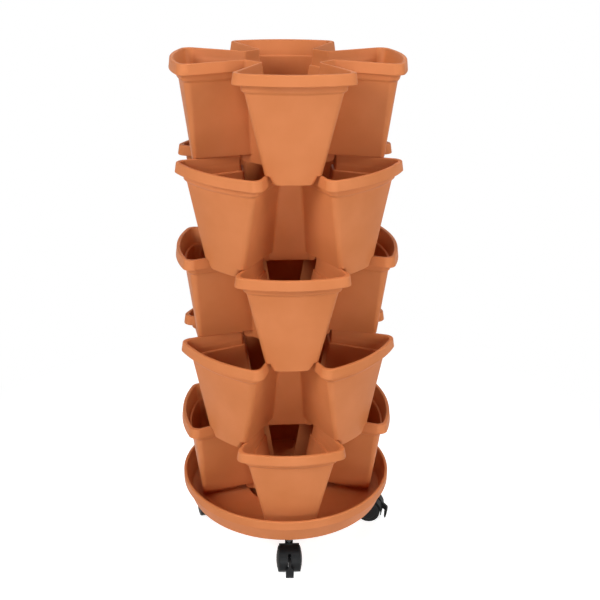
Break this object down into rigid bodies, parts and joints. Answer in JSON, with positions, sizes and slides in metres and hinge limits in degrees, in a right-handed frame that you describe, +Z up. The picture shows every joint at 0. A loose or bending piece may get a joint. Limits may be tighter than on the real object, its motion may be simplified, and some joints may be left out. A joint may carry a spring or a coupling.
{
  "type": "vertical garden planter",
  "caption": "Tower of lobed plastic pots stacked crosswise on a round saucer that rolls on braked twin-wheel casters.",
  "frame": {"origin": "on the floor, under the middle of the stack", "axes": "+Z up the stack; -Y towards the lobe and the caster that face the viewer; +X to the viewer's right"},
  "size_m": [0.3361, 0.3421, 0.758],
  "materials": {
    "pots": "satin moulded polypropylene, terracotta",
    "casters": "moulded black nylon",
    "steel": "zinc-plated steel"
  },
  "bodies": {
    "saucer": {"saucer": "pots", "front_grip_ring": "steel", "right_grip_ring": "steel", "back_grip_ring": "steel", "left_grip_ring": "steel"},
    "bottom_pot": {"bottom_pot": "pots"},
    "lower_pot": {"lower_pot": "pots"},
    "middle_pot": {"middle_pot": "pots"},
    "upper_pot": {"upper_pot": "pots"},
    "top_pot": {"top_pot": "pots"},
    "front_caster": {"front_hood": "casters", "front_stem": "steel", "front_axle": "steel", "front_pedal_pin": "steel"},
    "front_left_wheel": {"front_left_wheel": "casters"},
    "front_right_wheel": {"front_right_wheel": "casters"},
    "front_brake_pedal": {"front_brake_pedal": "casters"},
    "right_caster": {"right_hood": "casters", "right_stem": "steel", "right_axle": "steel", "right_pedal_pin": "steel"},
    "right_left_wheel": {"right_left_wheel": "casters"},
    "right_right_wheel": {"right_right_wheel": "casters"},
    "right_brake_pedal": {"right_brake_pedal": "casters"},
    "back_caster": {"back_hood": "casters", "back_stem": "steel", "back_axle": "steel", "back_pedal_pin": "steel"},
    "back_left_wheel": {"back_left_wheel": "casters"},
    "back_right_wheel": {"back_right_wheel": "casters"},
    "back_brake_pedal": {"back_brake_pedal": "casters"},
    "left_caster": {"left_hood": "casters", "left_stem": "steel", "left_axle": "steel", "left_pedal_pin": "steel"},
    "left_left_wheel": {"left_left_wheel": "casters"},
    "left_right_wheel": {"left_right_wheel": "casters"},
    "left_brake_pedal": {"left_brake_pedal": "casters"}
  },
  "joints": [
    {"name": "bottom_pot_lift", "type": "slide", "parent": "saucer", "child": "bottom_pot", "axis": [0, 0, 1], "range_m": [0, 0.05]},
    {"name": "lower_pot_lift", "type": "slide", "parent": "bottom_pot", "child": "lower_pot", "axis": [0, 0, 1], "range_m": [0, 0.05]},
    {"name": "middle_pot_lift", "type": "slide", "parent": "lower_pot", "child": "middle_pot", "axis": [0, 0, 1], "range_m": [0, 0.05]},
    {"name": "upper_pot_lift", "type": "slide", "parent": "middle_pot", "child": "upper_pot", "axis": [0, 0, 1], "range_m": [0, 0.05]},
    {"name": "top_pot_lift", "type": "slide", "parent": "upper_pot", "child": "top_pot", "axis": [0, 0, 1], "range_m": [0, 0.05]},
    {"name": "front_swivel", "type": "hinge", "parent": "saucer", "child": "front_caster", "pos_m": [-0.00195, -0.12398, 0.05], "axis": [0, 0, 1], "continuous": true},
    {"name": "front_left_wheel_spin", "type": "hinge", "parent": "front_caster", "child": "front_left_wheel", "pos_m": [-0.00234, -0.13998, 0.02], "axis": [0.9997, -0.0244, 0], "continuous": true},
    {"name": "front_right_wheel_spin", "type": "hinge", "parent": "front_caster", "child": "front_right_wheel", "pos_m": [-0.00234, -0.13998, 0.02], "axis": [0.9997, -0.0244, 0], "continuous": true},
    {"name": "front_brake", "type": "hinge", "parent": "front_caster", "child": "front_brake_pedal", "pos_m": [-0.00261, -0.15098, 0.0295], "axis": [0.9997, -0.0244, 0], "range_deg": [0, 10]},
    {"name": "right_swivel", "type": "hinge", "parent": "saucer", "child": "right_caster", "pos_m": [0.12398, -0.00195, 0.05], "axis": [0, 0, 1], "continuous": true},
    {"name": "right_left_wheel_spin", "type": "hinge", "parent": "right_caster", "child": "right_left_wheel", "pos_m": [0.13929, -0.00663, 0.02], "axis": [0.2924, 0.9563, 0], "continuous": true},
    {"name": "right_right_wheel_spin", "type": "hinge", "parent": "right_caster", "child": "right_right_wheel", "pos_m": [0.13929, -0.00663, 0.02], "axis": [0.2924, 0.9563, 0], "continuous": true},
    {"name": "right_brake", "type": "hinge", "parent": "right_caster", "child": "right_brake_pedal", "pos_m": [0.1498, -0.00984, 0.0295], "axis": [0.2924, 0.9563, 0], "range_deg": [0, 10]},
    {"name": "back_swivel", "type": "hinge", "parent": "saucer", "child": "back_caster", "pos_m": [0.00195, 0.12398, 0.05], "axis": [0, 0, 1], "continuous": true},
    {"name": "back_left_wheel_spin", "type": "hinge", "parent": "back_caster", "child": "back_left_wheel", "pos_m": [0.00195, 0.13998, 0.02], "axis": [-1, 0, 0], "continuous": true},
    {"name": "back_right_wheel_spin", "type": "hinge", "parent": "back_caster", "child": "back_right_wheel", "pos_m": [0.00195, 0.13998, 0.02], "axis": [-1, 0, 0], "continuous": true},
    {"name": "back_brake", "type": "hinge", "parent": "back_caster", "child": "back_brake_pedal", "pos_m": [0.00195, 0.15098, 0.0295], "axis": [-1, 0, 0], "range_deg": [0, 10]},
    {"name": "left_swivel", "type": "hinge", "parent": "saucer", "child": "left_caster", "pos_m": [-0.12398, 0.00195, 0.05], "axis": [0, 0, 1], "continuous": true},
    {"name": "left_left_wheel_spin", "type": "hinge", "parent": "left_caster", "child": "left_left_wheel", "pos_m": [-0.12676, 0.0177, 0.02], "axis": [-0.9848, -0.1736, 0], "continuous": true},
    {"name": "left_right_wheel_spin", "type": "hinge", "parent": "left_caster", "child": "left_right_wheel", "pos_m": [-0.12676, 0.0177, 0.02], "axis": [-0.9848, -0.1736, 0], "continuous": true},
    {"name": "left_brake", "type": "hinge", "parent": "left_caster", "child": "left_brake_pedal", "pos_m": [-0.12867, 0.02854, 0.0295], "axis": [-0.9848, -0.1736, 0], "range_deg": [0, 10]}
  ]
}
